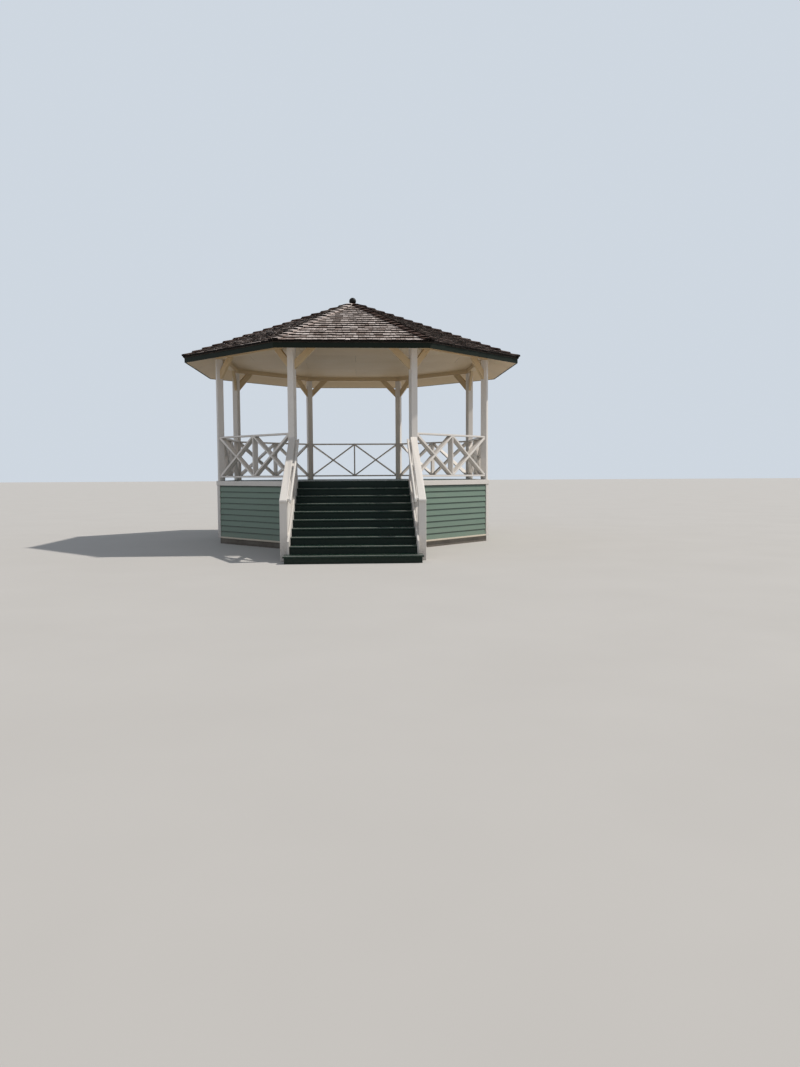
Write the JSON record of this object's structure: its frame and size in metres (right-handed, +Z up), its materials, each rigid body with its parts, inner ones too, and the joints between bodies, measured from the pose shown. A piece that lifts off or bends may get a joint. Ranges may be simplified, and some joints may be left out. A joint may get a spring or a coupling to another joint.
{
  "type": "octagonal bandstand",
  "caption": "Octagonal timber bandstand: lap-sided base, open post ring with cross-braced railings, shallow shake roof with a ball on its peak, and a wide flight of steps.",
  "frame": {"origin": "under the middle of the whole outline, at ground level", "axes": "+Z up, the steps come down towards -Y, +X to the right for someone who faces the steps"},
  "size_m": [7.6704, 9.7052, 5.8959],
  "materials": {
    "concrete": "rough",
    "sill_paint": "worn paint",
    "white_paint": "painted, satin",
    "cream_paint": "painted, satin",
    "green_paint": "painted, satin",
    "step_paint": "painted, gloss",
    "dark_green_paint": "painted, satin",
    "cedar_shake": "weathered",
    "bare_timber": "sawn",
    "dark_metal": "matt"
  },
  "bodies": {
    "root": {"footing": "concrete", "sill_boards": "sill_paint", "corner_boards": "white_paint", "skirt_front": "green_paint", "skirt_front_right": "green_paint", "skirt_right": "green_paint", "skirt_back_right": "green_paint", "skirt_back": "green_paint", "skirt_back_left": "green_paint", "skirt_left": "green_paint", "skirt_front_left": "green_paint", "floor_band": "white_paint", "floor_deck": "step_paint", "floor_joists": "bare_timber", "posts": "white_paint", "railing_front_right": "white_paint", "railing_right": "white_paint", "railing_back_right": "white_paint", "railing_back": "white_paint", "railing_back_left": "white_paint", "railing_left": "white_paint", "railing_front_left": "white_paint", "beam_ring": "cream_paint", "knee_braces": "cream_paint", "ceiling": "cream_paint", "soffit": "cream_paint", "fascia": "dark_green_paint", "rafters": "bare_timber", "roof_front": "cedar_shake", "roof_front_right": "cedar_shake", "roof_right": "cedar_shake", "roof_back_right": "cedar_shake", "roof_back": "cedar_shake", "roof_back_left": "cedar_shake", "roof_left": "cedar_shake", "roof_front_left": "cedar_shake", "hip_caps": "cedar_shake", "finial": "dark_metal", "treads": "step_paint", "risers": "dark_green_paint", "stringers": "dark_green_paint", "stair_curbs": "white_paint", "newels": "white_paint", "stair_rail_left": "white_paint", "stair_rail_right": "white_paint"}
  },
  "joints": []
}
